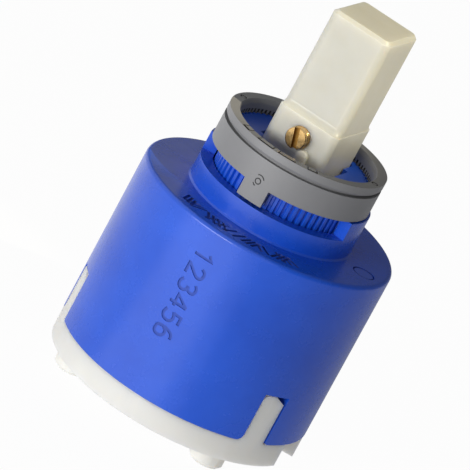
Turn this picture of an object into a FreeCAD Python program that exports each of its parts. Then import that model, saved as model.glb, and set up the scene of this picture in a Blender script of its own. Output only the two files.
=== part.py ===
# Single-lever mixer cartridge, 47 mm across: a blue housing snapped over a pale base,
# two ceramic discs worked by a lever in a turning splined neck, and a temperature ring.
# Millimetres. Z is the cartridge axis, z = 0 is the seat face under the base, and -Y is
# the front, the side of the lever's screw. An angle "beta" is measured from the front
# towards +X.
import FreeCAD, Part
import math
import os

V = FreeCAD.Vector

# how far a cutting shape runs past what it cuts
past = 1.0

# housing
body_r = 23.5
body_wall = 2.3
shoulder_wall = 2.6
shoulder_round = 0.8
collar_bore_r = 13.0
collar_wall = 2.35
rim_h = 4.0
collar_wall_h = 3.4
collar_foot = 0.3
window_half_deg = 75.5
slot_deg = 13.0
slot_top_above_flange = 9.4
slot_corners = (1.3, 0.6)
clip_betas = (60.0, 180.0, 300.0)
mark_beta = 90.0
mark_r = 2.0
mark_depth = 0.3
mark_outwards = 0.3
stop_rib_deg = 10.0
stop_rib_depth = 2.1

# base
flange_h = 4.4
flange_inset = 0.1
plug_gap = 0.15
floor_h = 6.6
cup_wall = 4.2
cup_h = 3.0
leg_gap_left_deg = 0.35
leg_gap_right_deg = 1.1
leg_top_gap = 0.2
leg_flush = 0.05
leg_relief = 1.0
leg_web_gap = 0.15
leg_round = 1.5
leg_chamfer_w = 2.5
leg_chamfer_h = 1.2
notch_betas = (92.0, 268.0)
notch_deg = 21.0
notch_depth = 2.4
peg_betas = (-49.4, 49.4)
peg_edge = 4.4
peg_r = 3.1
peg_len = 3.0
peg_bevel = 0.6
key_w = 3.0
key_depth = 1.4

# water ways and their seals
port_pitch_r = 9.5
port_deg = 33.5
port_r = 3.6
outlet_y = -7.0
outlet_r = 3.8
seal_w = 1.5
seal_bore_gap = 0.3
seal_side_gap = 0.05
seal_depth = 1.2
seal_stand = 0.5
kidney_w = 3.4
kidney_deg = 37.0

# ceramic discs
disc_side_gap = 0.25
disc_gap = 0.2
disc_t = 4.0
glaze_gap = 0.05
moving_inset = 1.1
moving_t = 3.75
chamber_r = 9.0
chamber_h = 2.1
chamber_back = 2.47
chamber_top_r = 7.0
screen_gap = 0.05
screen_t = 1.0
screen_hole_r = 1.5
screen_edge = 1.25

# disc carrier
carrier_t = 3.9
carrier_inset = 0.2
lug_w = 4.0
lug_in = 2.2
lug_out = 0.2
lug_h = 2.0
lug_gap = 0.1
o_ring_gap = 0.7
o_ring_w = 1.6
o_ring_h = 1.4
o_ring_side_gap = 0.1
socket_wall = 2.64
socket_h = 5.2
socket_floor = 0.3
ball_above_carrier = 2.3
rail_w = 2.4
rail_h = 1.8
rail_len = 16.0
rail_inset = 4.5
rail_gap = 0.1

# turret
glide_gap = 0.1
drum_h = 10.2
washer_t = 0.5
washer_gap = 0.6
turn_deg = 50.0
stop_lug_half_deg = 8.0
stop_lug_gap = 0.3
stop_lug_h = 4.0
journal_gap = 0.08
spline_start = 0.9
tooth_count = 64
tooth_step = 0.22
tooth_depth = 0.5
tooth_tip_half_deg = 1.2
tooth_root_half_deg = 1.9
slot_side_gap = 0.2
boss_side_gap = 0.25
swing_gap = 0.3
pin_r = 1.75
pin_seat_gap = 0.02
pin_inset = 0.25

# lever
open_deg = 24.0
pivot_y = 1.0
pivot_above_shoulder = 5.8
arm_r = 2.4
ball_r = 3.5
ball_gap = 0.06
pin_run_gap = 0.05
hub_r = 5.5
boss_r = 3.8
boss_half = 7.1
boss_gap = 0.15
block_half_w = 6.15
block_front = 6.9
block_back = 8.5
block_foot = 3.0
ledge_above_pivot = 13.3
stem_half_w = 6.0
stem_front_step = 1.2
stem_back_step = 0.75
stem_h = 18.8
lever_corner = 1.5
stem_top_bevel = 0.6

# flow limiting screw and the rib below it
screw_r = 1.95
screw_hole_gap = 0.05
screw_len = 10.0
screw_out = 1.75
screw_feed = 1.75
screw_below_ledge = 3.3
screw_bevel = 0.35
screw_end_gap = 0.3
driver_slot_turn = 16.0
driver_slot_w = 1.0
driver_slot_depth = 1.0
rib_x = 2.1
rib_half_w = 1.05
rib_out = 1.1
rib_h = 4.3
rib_screw_gap = 0.2

# temperature ring
ring_bore_gap = 0.1
ring_wall = 2.15
ring_seat_gap = 0.2
ring_h = 6.8
ring_sink = 2.55
ring_spline_lead = 0.3
ring_mesh_gap = 0.1
ring_mesh_gap_deg = 0.4
ring_flange_h = 1.3
ring_flange_bevel_h = 0.45
ring_flange_bevel = 0.3
ring_groove_h = 0.4
ring_groove_depth = 0.9
ring_mouth_w = 0.35
ring_mouth_h = 0.86
tab_half_deg = 9.5
tab_rim_gap = 0.5
tab_spline_gap = 0.5
slit_in = 0.55
slit_w = 0.35
slit_depth = 0.5
slit_spans = ((-32.0, -25.0), (-15.5, -2.5), (2.5, 15.5), (25.0, 32.0))
ring_dot_betas = (90.0, 270.0)
ring_dot_r = 0.6
ring_dot_depth = 0.3

# heights, from the seat face upwards
floor_z = flange_h + floor_h
disc_z = floor_z + seal_stand
moving_z = disc_z + disc_t + glaze_gap
carrier_z = moving_z + moving_t
carrier_top = carrier_z + carrier_t
drum_z = carrier_top + glide_gap
drum_top = drum_z + drum_h
ceiling_z = drum_top + glide_gap + washer_t
shoulder_z = ceiling_z + shoulder_wall
rim_z = shoulder_z + rim_h
collar_top = rim_z + collar_wall_h
ring_z = collar_top + ring_seat_gap
ring_top = ring_z + ring_h
turret_top = ring_top - ring_sink
spline_z = shoulder_z + spline_start
pivot_z = shoulder_z + pivot_above_shoulder
ledge_z = pivot_z + ledge_above_pivot
stem_top = ledge_z + stem_h
screw_z = ledge_z - screw_below_ledge

# sizes that follow from the ones above
bore_r = body_r - body_wall
plug_r = bore_r - plug_gap
cup_r = plug_r - cup_wall
disc_r = cup_r - disc_side_gap
moving_r = disc_r - moving_inset
rail_x = moving_r - rail_inset
drum_r = bore_r - stop_rib_depth - stop_lug_gap
flange_r = body_r - flange_inset
peg_pitch_r = flange_r - peg_edge
cup_top = floor_z + cup_h
slot_top = flange_h + slot_top_above_flange
collar_r = collar_bore_r + collar_wall
mark_pitch_r = (collar_r + body_r) / 2 + mark_outwards
journal_r = collar_bore_r - journal_gap
tooth_tip_r = journal_r - tooth_step
tooth_root_r = tooth_tip_r - tooth_depth
ring_bore_r = tooth_tip_r + ring_bore_gap
ring_r = ring_bore_r + ring_wall
slit_r = ring_r - slit_in
slot_half_w = block_half_w + slot_side_gap
swing = math.radians(open_deg)
half_swing = swing / 2
arm_len = pivot_z - carrier_top - ball_above_carrier
ball_rest_y = pivot_y - arm_len * math.sin(half_swing)
ball_rest_z = pivot_z - arm_len * math.cos(half_swing)
ball_low_z = pivot_z - arm_len
travel = 2 * arm_len * math.sin(half_swing)
moving_y = -travel / 2
chamber_y = moving_y - chamber_back
socket_bore_r = ball_r + ball_gap
socket_r = socket_bore_r + socket_wall
block_front_y = pivot_y - block_front
block_back_y = pivot_y + block_back
screw_hole_r = screw_r + screw_hole_gap


def place(beta, radius, z=0.0):
    # point at an angle from the front, a distance from the axis and a height
    b = math.radians(beta)
    return V(radius * math.sin(b), -radius * math.cos(b), z)


def rod(radius, z0, z1, x=0.0, y=0.0):
    return Part.makeCylinder(radius, z1 - z0, V(x, y, z0))


def tube(outer, inner, z0, z1, x=0.0, y=0.0):
    return rod(outer, z0, z1, x, y).cut(rod(inner, z0, z1, x, y))


def block(x0, x1, y0, y1, z0, z1):
    return Part.makeBox(x1 - x0, y1 - y0, z1 - z0, V(x0, y0, z0))


def cross_rod(radius, half_len, y, z):
    # cylinder along X, centred on x = 0
    return Part.makeCylinder(radius, 2 * half_len, V(-half_len, y, z), V(1, 0, 0))


def turned(points):
    # solid of revolution from (radius, height) points
    wire = Part.makePolygon([V(r, 0, z) for r, z in points + points[:1]])
    return Part.Face(wire).revolve(V(0, 0, 0), V(0, 0, 1), 360)


def sector(r0, r1, z0, z1, beta0, beta1):
    corners = [place(beta0, r, z) for r, z in ((r0, z0), (r1, z0), (r1, z1), (r0, z1), (r0, z0))]
    face = Part.Face(Part.makePolygon(corners))
    return face.revolve(V(0, 0, 0), V(0, 0, 1), beta1 - beta0)


def across(points, half_w):
    # (y, z) outline made as wide as 2 * half_w along X
    wire = Part.makePolygon([V(-half_w, y, z) for y, z in points + points[:1]])
    return Part.Face(wire).extrude(V(2 * half_w, 0, 0))


def long_slot(half_w, y0, y1, z0, z1):
    # slot with round ends, y0 and y1 being the centres of the ends
    middle = block(-half_w, half_w, y0, y1, z0, z1)
    return middle.fuse([rod(half_w, z0, z1, 0, y0), rod(half_w, z0, z1, 0, y1)]).removeSplitter()


def vertical_edges(shape, z0, z1):
    found = []
    for edge in shape.Edges:
        ends = [v.Point for v in edge.Vertexes]
        if len(ends) == 2 and abs(ends[0].x - ends[1].x) < 1e-6 and abs(ends[0].y - ends[1].y) < 1e-6:
            if min(p.z for p in ends) > z0 - 1e-6 and max(p.z for p in ends) < z1 + 1e-6:
                found.append(edge)
    return found


def rounded_bar(half_w, y0, y1, z0, z1, corner):
    bar = block(-half_w, half_w, y0, y1, z0, z1)
    return bar.makeFillet(corner, vertical_edges(bar, z0, z1))


def circle_edges(shape, radius, z):
    found = []
    for edge in shape.Edges:
        box = edge.BoundBox
        flat = abs(box.ZMin - z) < 1e-6 and abs(box.ZMax - z) < 1e-6
        if flat and hasattr(edge.Curve, "Radius") and abs(edge.Curve.Radius - radius) < 1e-6:
            found.append(edge)
    return found


def splined_rod(root_r, tip_r, root_half, tip_half, z0, z1):
    points = []
    for i in range(tooth_count):
        mid = 360.0 * i / tooth_count
        corners = ((-root_half, root_r), (-tip_half, tip_r), (tip_half, tip_r), (root_half, root_r))
        points += [place(mid + turn, r, z0) for turn, r in corners]
    return Part.Face(Part.makePolygon(points + points[:1])).extrude(V(0, 0, z1 - z0))


def ports():
    # (name, x, y, radius) of the three water ways
    turn = math.radians(port_deg)
    x = port_pitch_r * math.cos(turn)
    y = port_pitch_r * math.sin(turn)
    return (("hot", -x, y, port_r), ("cold", x, y, port_r), ("outlet", 0.0, outlet_y, outlet_r))


def make_housing():
    body = turned([(bore_r, flange_h), (body_r, flange_h), (body_r, shoulder_z),
                   (collar_r + collar_foot, shoulder_z), (collar_r, shoulder_z + collar_foot),
                   (collar_r, collar_top), (collar_bore_r, collar_top), (collar_bore_r, ceiling_z),
                   (bore_r, ceiling_z)])
    body = body.makeFillet(shoulder_round, circle_edges(body, body_r, shoulder_z))
    window = sector(collar_bore_r - past, collar_r + past, rim_z, collar_top + past,
                    -window_half_deg, window_half_deg)
    body = body.cut(window)
    for beta in clip_betas:
        body = body.cut(clip_slot(beta))
    spot = place(mark_beta, mark_pitch_r, shoulder_z)
    body = body.cut(rod(mark_r, shoulder_z - mark_depth, shoulder_z + past, spot.x, spot.y))
    free_deg = turn_deg + stop_lug_half_deg
    for side in (-1, 1):
        near = 180 + side * free_deg
        far = near + side * stop_rib_deg
        rib = sector(bore_r - stop_rib_depth, bore_r + body_wall / 2, drum_top - stop_lug_h, ceiling_z,
                     min(near, far), max(near, far))
        body = body.fuse(rib)
    return body.removeSplitter()


def wall_rod(beta, z, radius):
    # rod that runs outwards through the housing's wall
    start = place(beta, bore_r - 2 * past, z)
    return Part.makeCylinder(radius, body_wall + 4 * past, start, place(beta, 1))


def corner_sliver(beta, z, side, up, ease):
    # what lies between a sharp corner in the wall and the round that eases it
    beside = beta + side * math.degrees(ease / body_r)
    middle = z + up * ease
    low, high = sorted((z, middle))
    square = sector(bore_r - past, body_r + past, low, high, min(beta, beside), max(beta, beside))
    return square.cut(wall_rod(beside, middle, ease))


def clip_slot(beta):
    # slot for one clip leg, open at the bottom, its lower corners eased
    half = slot_deg / 2
    slot = sector(bore_r - past, body_r + past, flange_h - past, slot_top, beta - half, beta + half)
    for side, ease in zip((-1, 1), slot_corners):
        slot = slot.fuse(corner_sliver(beta + side * half, flange_h, side, 1, ease))
    return slot


def clip_leg(beta):
    # clip leg in a housing slot, flush outside, its foot spread into the slot's eased left corner
    left = beta - slot_deg / 2 + leg_gap_left_deg
    right = beta + slot_deg / 2 - leg_gap_right_deg
    top = slot_top - leg_top_gap
    face_r = body_r - leg_flush
    leg = sector(bore_r, face_r, flange_h, top, left, right)
    ease = slot_corners[0]
    beside = beta - slot_deg / 2 - math.degrees(ease / body_r)
    foot = sector(bore_r, face_r, flange_h, flange_h + ease, beside, left)
    leg = leg.fuse(foot.cut(wall_rod(beside, flange_h + ease, ease + leg_web_gap)))
    leg = leg.cut(corner_sliver(left, top, 1, -1, leg_round))
    corner_deg = math.degrees(leg_chamfer_w / body_r)
    tip = [place(right - corner_deg, bore_r - past, top), place(right, bore_r - past, top),
           place(right, bore_r - past, top - leg_chamfer_h)]
    wedge = Part.Face(Part.makePolygon(tip + tip[:1])).extrude(place(right, body_wall + 2 * past))
    return leg.cut(wedge)


def make_base():
    body = turned([(0, 0), (flange_r, 0), (flange_r, flange_h), (plug_r, flange_h), (plug_r, cup_top),
                   (cup_r, cup_top), (cup_r, floor_z), (0, floor_z)])
    for side in (-1, 1):
        key = block(cup_r - key_depth, cup_r + past, -key_w / 2, key_w / 2, floor_z, cup_top)
        if side < 0:
            key = key.mirror(V(0, 0, 0), V(1, 0, 0))
        body = body.fuse(key)
    half = slot_deg / 2
    for beta in clip_betas:
        body = body.cut(sector(plug_r - leg_relief, bore_r, flange_h, cup_top + past,
                               beta - half, beta + half))
        body = body.fuse(clip_leg(beta))
    for beta in notch_betas:
        body = body.cut(sector(flange_r - notch_depth, flange_r + past, -past, flange_h,
                               beta - notch_deg / 2, beta + notch_deg / 2))
    for beta in peg_betas:
        foot = place(beta, peg_pitch_r)
        peg = rod(peg_r, -peg_len, 0, foot.x, foot.y)
        body = body.fuse(peg.makeChamfer(peg_bevel, circle_edges(peg, peg_r, -peg_len)))
    for name, x, y, radius in ports():
        body = body.cut(rod(radius, -past, floor_z + past, x, y))
        seat_r = radius + seal_bore_gap + seal_w + seal_side_gap
        body = body.cut(rod(seat_r, -past, seal_depth, x, y))
        body = body.cut(rod(seat_r, floor_z - seal_depth, floor_z + past, x, y))
    return body.removeSplitter()


def port_seal(x, y, radius, z0):
    inner = radius + seal_bore_gap
    return tube(inner + seal_w, inner, z0, z0 + seal_depth + seal_stand, x, y)


def make_fixed_disc():
    disc = rod(disc_r, disc_z, disc_z + disc_t)
    disc = disc.cut(rod(outlet_r, disc_z, disc_z + disc_t, 0, outlet_y))
    for centre in (90 + port_deg, 270 - port_deg):
        disc = disc.cut(sector(port_pitch_r - kidney_w / 2, port_pitch_r + kidney_w / 2,
                               disc_z, disc_z + disc_t, centre - kidney_deg / 2, centre + kidney_deg / 2))
    notch = cup_r - key_depth - disc_gap
    for x0, x1 in ((notch, disc_r + past), (-disc_r - past, -notch)):
        half = key_w / 2 + disc_gap
        disc = disc.cut(block(x0, x1, -half, half, disc_z, disc_z + disc_t))
    return disc


def make_moving_disc():
    disc = rod(moving_r, moving_z, carrier_z, 0, moving_y)
    disc = disc.cut(rod(chamber_r, moving_z, moving_z + chamber_h, 0, chamber_y))
    disc = disc.cut(rod(chamber_top_r, moving_z, carrier_z, 0, chamber_y))
    half = lug_w / 2 + lug_gap
    inner = moving_r - lug_in - lug_gap
    for x0, x1 in ((inner, moving_r + past), (-moving_r - past, -inner)):
        disc = disc.cut(block(x0, x1, moving_y - half, moving_y + half,
                              carrier_z - lug_h - lug_gap, carrier_z))
    return disc


def make_mixing_screen():
    # plate with one hole in six others, held in the top of the moving disc's chamber
    screen_r = chamber_top_r - screen_gap
    ring = screen_r - screen_hole_r - screen_edge
    spots = [(0, 0)]
    for turn in range(0, 360, 60):
        spots.append((ring * math.cos(math.radians(turn)), ring * math.sin(math.radians(turn))))
    screen = rod(screen_r, carrier_z - screen_t, carrier_z, 0, chamber_y)
    for x, y in spots:
        screen = screen.cut(rod(screen_hole_r, carrier_z - screen_t, carrier_z, x, chamber_y + y))
    return screen


def make_disc_carrier():
    plate = rod(moving_r - carrier_inset, carrier_z, carrier_top, 0, moving_y)
    for side in (-1, 1):
        x0, x1 = sorted((side * (moving_r - carrier_inset - lug_out), side * (moving_r - lug_in)))
        lug = block(x0, x1, moving_y - lug_w / 2, moving_y + lug_w / 2, carrier_z - lug_h, carrier_z)
        rail_mid = side * rail_x
        rail = block(rail_mid - rail_w / 2, rail_mid + rail_w / 2, moving_y - rail_len / 2,
                     moving_y + rail_len / 2, carrier_top, carrier_top + rail_h)
        plate = plate.fuse([lug, rail])
    plate = plate.fuse(rod(socket_r, carrier_top, carrier_top + socket_h, 0, ball_rest_y))
    plate = plate.cut(rod(socket_bore_r, ball_low_z - ball_r - socket_floor, carrier_top + socket_h + past,
                          0, ball_rest_y))
    inner = chamber_top_r + o_ring_gap
    groove = tube(inner + o_ring_w + o_ring_side_gap, inner - o_ring_side_gap,
                  carrier_z, carrier_z + o_ring_h, 0, chamber_y)
    return plate.cut(groove).removeSplitter()


def make_carrier_seal():
    inner = chamber_top_r + o_ring_gap
    return tube(inner + o_ring_w, inner, carrier_z, carrier_z + o_ring_h, 0, chamber_y)


def make_turret():
    body = rod(drum_r, drum_z, drum_top).fuse(rod(journal_r, drum_top, spline_z))
    teeth = splined_rod(tooth_root_r, tooth_tip_r, tooth_root_half_deg, tooth_tip_half_deg,
                        spline_z, turret_top)
    body = body.fuse(teeth)
    lug = sector(drum_r - past, bore_r - stop_lug_gap, drum_top - stop_lug_h, drum_top,
                 180 - stop_lug_half_deg, 180 + stop_lug_half_deg)
    body = body.fuse(lug)
    body = body.cut(lever_chamber())
    arm_shift = (pivot_z - carrier_top - socket_h) * math.tan(half_swing)
    arm_reach = arm_shift + arm_r / math.cos(half_swing) + swing_gap
    arm_half = arm_r + swing_gap
    body = body.cut(long_slot(arm_half, pivot_y - arm_reach + arm_half, pivot_y + arm_reach - arm_half,
                              carrier_top + socket_h, pivot_z))
    socket_room = socket_r + swing_gap
    body = body.cut(long_slot(socket_room, ball_rest_y, ball_rest_y + travel, drum_z - past,
                              carrier_top + socket_h + swing_gap))
    for side in (-1, 1):
        half = rail_w / 2 + rail_gap
        reach = rail_len / 2 + travel / 2 + swing_gap
        body = body.cut(block(side * rail_x - half, side * rail_x + half, -reach, reach, drum_z - past,
                              carrier_top + rail_h + rail_gap))
    body = body.cut(cross_rod(pin_r + pin_seat_gap, journal_r + past, pivot_y, pivot_z))
    return body.removeSplitter()


def swung_front(face, height):
    # y, from the pivot, of a lever face that stands "face" before it, at full tilt
    return -(face + height * math.sin(swing)) / math.cos(swing) - swing_gap


def lever_chamber():
    # room in the neck for the lever's block, hub, bosses, rib and screw over the whole tilt
    over = turret_top + past - pivot_z
    foot = -2 * swing_gap
    back = block_back + swing_gap
    outline = [(swung_front(block_front, 0), foot), (swung_front(block_front, over), over), (back, over),
               (back, block_foot - swing_gap), (hub_r, foot)]
    room = across([(pivot_y + y, pivot_z + z) for y, z in outline], slot_half_w)
    room = room.makeFillet(lever_corner, vertical_edges(room, pivot_z, turret_top + past))
    room = room.fuse(cross_rod(hub_r + swing_gap, slot_half_w, pivot_y, pivot_z))
    boss_room = boss_r + boss_gap
    boss_half_room = boss_half + boss_side_gap
    room = room.fuse(block(-boss_half_room, boss_half_room, pivot_y - boss_room, pivot_y + boss_room,
                           pivot_z, turret_top + past))
    room = room.fuse(cross_rod(boss_room, boss_half_room, pivot_y, pivot_z))
    rib_face = block_front + rib_out
    rib_low = (rib_bottom() - pivot_z) * math.cos(swing) - rib_face * math.sin(swing) - swing_gap
    rib_room = [(0, rib_low), (swung_front(rib_face, rib_low), rib_low),
                (swung_front(rib_face, over), over), (0, over)]
    notch = across([(pivot_y + y, pivot_z + z) for y, z in rib_room], rib_half_w + swing_gap)
    notch.translate(V(rib_x, 0, 0))
    room = room.fuse(notch)
    screw_face = block_front + screw_out
    screw_low = (screw_z - screw_r - pivot_z) * math.cos(swing) - screw_face * math.sin(swing)
    relief_half = screw_r + swing_gap
    room = room.fuse(block(-relief_half, relief_half, -tooth_tip_r - past, block_front_y,
                           pivot_z + screw_low - swing_gap, turret_top + past))
    return room


def make_slide_washer():
    return tube(drum_r - washer_gap, collar_bore_r + washer_gap, ceiling_z - washer_t, ceiling_z)


def make_pivot_pin():
    half = math.sqrt(tooth_root_r ** 2 - pivot_y ** 2) - pin_inset
    return cross_rod(pin_r, half, pivot_y, pivot_z)


def rib_top():
    # the rib stops just under the screw
    below = math.sqrt(screw_r ** 2 - (rib_x - rib_half_w / 2) ** 2)
    return screw_z - below - rib_screw_gap


def rib_bottom():
    return rib_top() - rib_h


def make_lever():
    stem = rounded_bar(stem_half_w, block_front_y + stem_front_step, block_back_y - stem_back_step,
                       ledge_z - past, stem_top, lever_corner)
    top_edges = [e for e in stem.Edges if abs(e.BoundBox.ZMin - stem_top) < 1e-6]
    stem = stem.makeChamfer(stem_top_bevel, top_edges)
    foot_z = pivot_z + block_foot
    body = rounded_bar(block_half_w, block_front_y, block_back_y, foot_z, ledge_z, lever_corner)
    taper = [(-hub_r, 0), (-block_front + lever_corner, block_foot),
             (block_back - lever_corner, block_foot), (hub_r, 0)]
    neck = across([(pivot_y + y, pivot_z + z) for y, z in taper], block_half_w)
    hub = cross_rod(hub_r, block_half_w, pivot_y, pivot_z)
    bosses = cross_rod(boss_r, boss_half, pivot_y, pivot_z)
    down = V(0, -math.sin(half_swing), -math.cos(half_swing))
    arm = Part.makeCylinder(arm_r, arm_len, V(0, pivot_y, pivot_z), down)
    ball = Part.makeSphere(ball_r, V(0, ball_rest_y, ball_rest_z))
    rib_mid = rib_top() - rib_half_w
    rib_face_y = block_front_y - rib_out
    rib = block(rib_x - rib_half_w, rib_x + rib_half_w, rib_face_y, block_front_y + past,
                rib_bottom(), rib_mid)
    rib_cap = Part.makeCylinder(rib_half_w, rib_out + past, V(rib_x, rib_face_y, rib_mid), V(0, 1, 0))
    lever = body.fuse([stem, neck, hub, bosses, arm, ball, rib, rib_cap])
    hole_len = screw_len - screw_out + screw_feed + screw_end_gap
    hole = Part.makeCylinder(screw_hole_r, hole_len, V(0, block_front_y, screw_z), V(0, 1, 0))
    bore = cross_rod(pin_r + pin_run_gap, boss_half + past, pivot_y, pivot_z)
    return lever.cut([hole, bore]).removeSplitter()


def make_flow_limit_screw():
    tip_y = block_front_y - screw_out
    shank = Part.makeCylinder(screw_r, screw_len, V(0, tip_y, screw_z), V(0, 1, 0))
    rims = [e for e in shank.Edges if e.BoundBox.YLength < 1e-6]
    shank = shank.makeChamfer(screw_bevel, rims)
    slot = block(-driver_slot_w / 2, driver_slot_w / 2, tip_y - past, tip_y + driver_slot_depth,
                 screw_z - screw_r - past, screw_z + screw_r + past)
    slot.rotate(V(0, tip_y, screw_z), V(0, 1, 0), -driver_slot_turn)
    return shank.cut(slot)


def make_temperature_ring():
    flange_z = ring_top - ring_flange_h
    groove_top = flange_z - ring_flange_bevel_h
    groove_foot = groove_top - ring_groove_h
    inner_r = tooth_root_r + ring_mesh_gap
    spline_top = turret_top - ring_spline_lead
    body = turned([(inner_r, ring_z), (ring_r, ring_z), (ring_r, groove_foot),
                   (ring_r - ring_groove_depth, groove_foot), (ring_r - ring_groove_depth, groove_top),
                   (ring_r - ring_flange_bevel, groove_top), (ring_r, flange_z), (ring_r, ring_top),
                   (ring_bore_r + ring_mouth_w, ring_top), (ring_bore_r, ring_top - ring_mouth_h),
                   (ring_bore_r, spline_top), (inner_r, spline_top)])
    cutter = splined_rod(inner_r, tooth_tip_r + ring_mesh_gap, tooth_root_half_deg + ring_mesh_gap_deg,
                         tooth_tip_half_deg + ring_mesh_gap_deg, ring_z - past, spline_top + past)
    body = body.cut(cutter)
    tab = sector(tooth_tip_r + tab_spline_gap, ring_r, rim_z + tab_rim_gap, ring_z + past,
                 -tab_half_deg, tab_half_deg)
    body = body.fuse(tab)
    for beta0, beta1 in slit_spans:
        body = body.cut(sector(slit_r, slit_r + slit_w, ring_top - slit_depth, ring_top + past,
                               beta0, beta1))
    for beta in ring_dot_betas:
        spot = place(beta, (ring_r + ring_bore_r) / 2)
        body = body.cut(rod(ring_dot_r, ring_top - ring_dot_depth, ring_top + past, spot.x, spot.y))
    return body.removeSplitter()


def save(name, shape):
    solids = shape.Solids
    if len(solids) != 1 or not solids[0].isValid():
        print("CHECK", name, "solids", len(solids), "valid", shape.isValid())
    shape.exportStep("parts/" + name + ".step")


def main():
    os.makedirs("parts", exist_ok=True)
    save("housing", make_housing())
    save("base", make_base())
    for name, x, y, radius in ports():
        save("seal_lower_" + name, port_seal(x, y, radius, -seal_stand))
        save("seal_upper_" + name, port_seal(x, y, radius, floor_z - seal_depth))
    save("fixed_disc", make_fixed_disc())
    save("moving_disc", make_moving_disc())
    save("mixing_screen", make_mixing_screen())
    save("disc_carrier", make_disc_carrier())
    save("carrier_seal", make_carrier_seal())
    save("turret", make_turret())
    save("slide_washer", make_slide_washer())
    save("pivot_pin", make_pivot_pin())
    save("lever", make_lever())
    save("flow_limit_screw", make_flow_limit_screw())
    save("temperature_ring", make_temperature_ring())
    print("travel", round(travel, 3), "ball y", round(ball_rest_y, 3), "pivot z", round(pivot_z, 3),
          "top", round(stem_top, 3), "screw z", round(screw_z, 3), "turret top", round(turret_top, 3))


main()
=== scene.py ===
"""Looks of the mixer cartridge: moulded blue housing and neck, pale base, ivory lever, grey ring,
a threaded brass screw, engraved marks, and the light and camera of the photograph."""
import math

import bmesh
import bpy
from mathutils import Matrix, Vector


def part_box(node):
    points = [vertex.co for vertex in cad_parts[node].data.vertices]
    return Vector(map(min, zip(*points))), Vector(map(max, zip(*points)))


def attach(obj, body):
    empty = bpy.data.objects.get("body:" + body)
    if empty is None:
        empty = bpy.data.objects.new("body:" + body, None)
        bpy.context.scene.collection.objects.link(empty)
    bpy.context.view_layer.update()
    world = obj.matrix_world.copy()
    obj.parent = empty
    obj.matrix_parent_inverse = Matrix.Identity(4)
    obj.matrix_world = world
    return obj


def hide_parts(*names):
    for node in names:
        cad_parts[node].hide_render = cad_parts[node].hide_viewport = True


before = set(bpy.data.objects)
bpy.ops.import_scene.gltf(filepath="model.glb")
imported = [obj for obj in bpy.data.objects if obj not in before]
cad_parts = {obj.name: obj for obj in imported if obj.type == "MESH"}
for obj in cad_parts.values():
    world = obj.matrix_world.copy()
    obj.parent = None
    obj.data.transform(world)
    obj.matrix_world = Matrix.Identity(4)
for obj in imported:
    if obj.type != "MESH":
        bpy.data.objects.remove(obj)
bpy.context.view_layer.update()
scene = bpy.context.scene

# Lengths are in millimetres where nothing else is said. Angles are in degrees, and those round the
# axis count from the front to the right.
MM = 0.001

# sizes that the marks and the screw share with the solids
BODY_R = 23.5
SHOULDER_Z = 36.7
RING_R = 14.95
RING_BORE_R = 12.8
RING_LAND_R = (RING_R + RING_BORE_R) / 2
RING_TOP = 51.1
TURRET_TOP = 48.55
LEDGE_Z = 55.8
SCREW_Z = 52.5
DRIVER_TURN = 16.0
DRIVER_W = 1.0
DRIVER_DEPTH = 1.0
DRIVER_REACH = 5.0

# points and faces of a CAD node that are taken as one
POINT_GAP = 0.0015
FLAT_ANGLE = 0.5

# width of the rounding along each piece's edges
HOUSING_EDGE = 0.13
RING_EDGE = 0.1
NECK_EDGE = 0.08
BASE_EDGE = 0.2
LEVER_EDGE = 0.16

# which faces count as level, and which as parts of a round wall about the axis
LEVEL_SHARE = 0.9998
WALL_SPREAD = 0.07
WALL_SHARE = 0.99

# how far a cutter stands out of the face that it cuts, and how deep a plug reaches below it
CUT_PAST = 0.3
PLUG_DEPTH = 0.5

# engraved digits down the front of the housing
DIGITS = "123456"
DIGIT_HEIGHT = 3.3
DIGIT_TOP = 31.5
DIGIT_PITCH = 3.03
DIGIT_SIDE = 1.2
DIGIT_HALF_W = 0.27
DIGIT_DEPTH = 0.2
DIGIT_PAST = 0.4
FIGURE_MIDDLE = 0.31
SHARPEST_MITRE = 0.55

# bars on the shoulder
SHOULDER_BAR_R = 20.0
SHOULDER_BAR_W = 0.55
SHOULDER_BAR_H = 0.7

# the ejector's round mark on the shoulder
EJECTOR_SIDE = 90.0
EJECTOR_FROM_AXIS = 19.725
EJECTOR_RIM = (1.78, 2.06)
EJECTOR_RIM_DEPTH = 0.3
EJECTOR_PLUG_R = 1.9
EJECTOR_SINK = 0.06
EJECTOR_STEPS = 40

# the two round marks on the ring's top
DOT_SIDES = (90.0, 270.0)
DOT_RIM = (0.4, 0.64)
DOT_RIM_DEPTH = 0.25
DOT_PLUG_R = 0.57
DOT_SINK = 0.05
DOT_STEPS = 24

# slits behind the ring's spring tongues, each from one angle to another, and the gaps at their ends
SLIT_SPANS = ((-32.0, -25.0), (-15.5, -2.5), (2.5, 15.5), (25.0, 32.0))
SLIT_RADII = (14.3, 14.82)
SLIT_DEPTH = 0.6
SLIT_OVER = 0.3
GAP_RADII = (RING_BORE_R - 0.3, 14.5)
GAP_DEPTH = 0.45
GAP_HALF_W = 0.5
SECTOR_STEP = 3.0

# notches round the ring's bore
NOTCHES = 90
NOTCH_LAST = 356.0
NOTCH_SIZE = (0.45, 0.7, 0.7)
NOTCH_RISE = 0.35
NOTCH_IN = 0.1

# index mark on the ring's tab; each stroke has its radius, first and last angle, and rise
TAB_MARK_Z = 45.1
TAB_MARK_DEPTH = 0.12
TAB_MARK_HALF_W = 0.1
CIRCLE_STEPS = 28
ARC_STEPS = 12
TAB_STROKES = ((0.5, 0.0, 360.0, -0.1), (1.0, 30.0, 120.0, 0.05), (0.85, 215.0, 260.0, -0.2))

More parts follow.
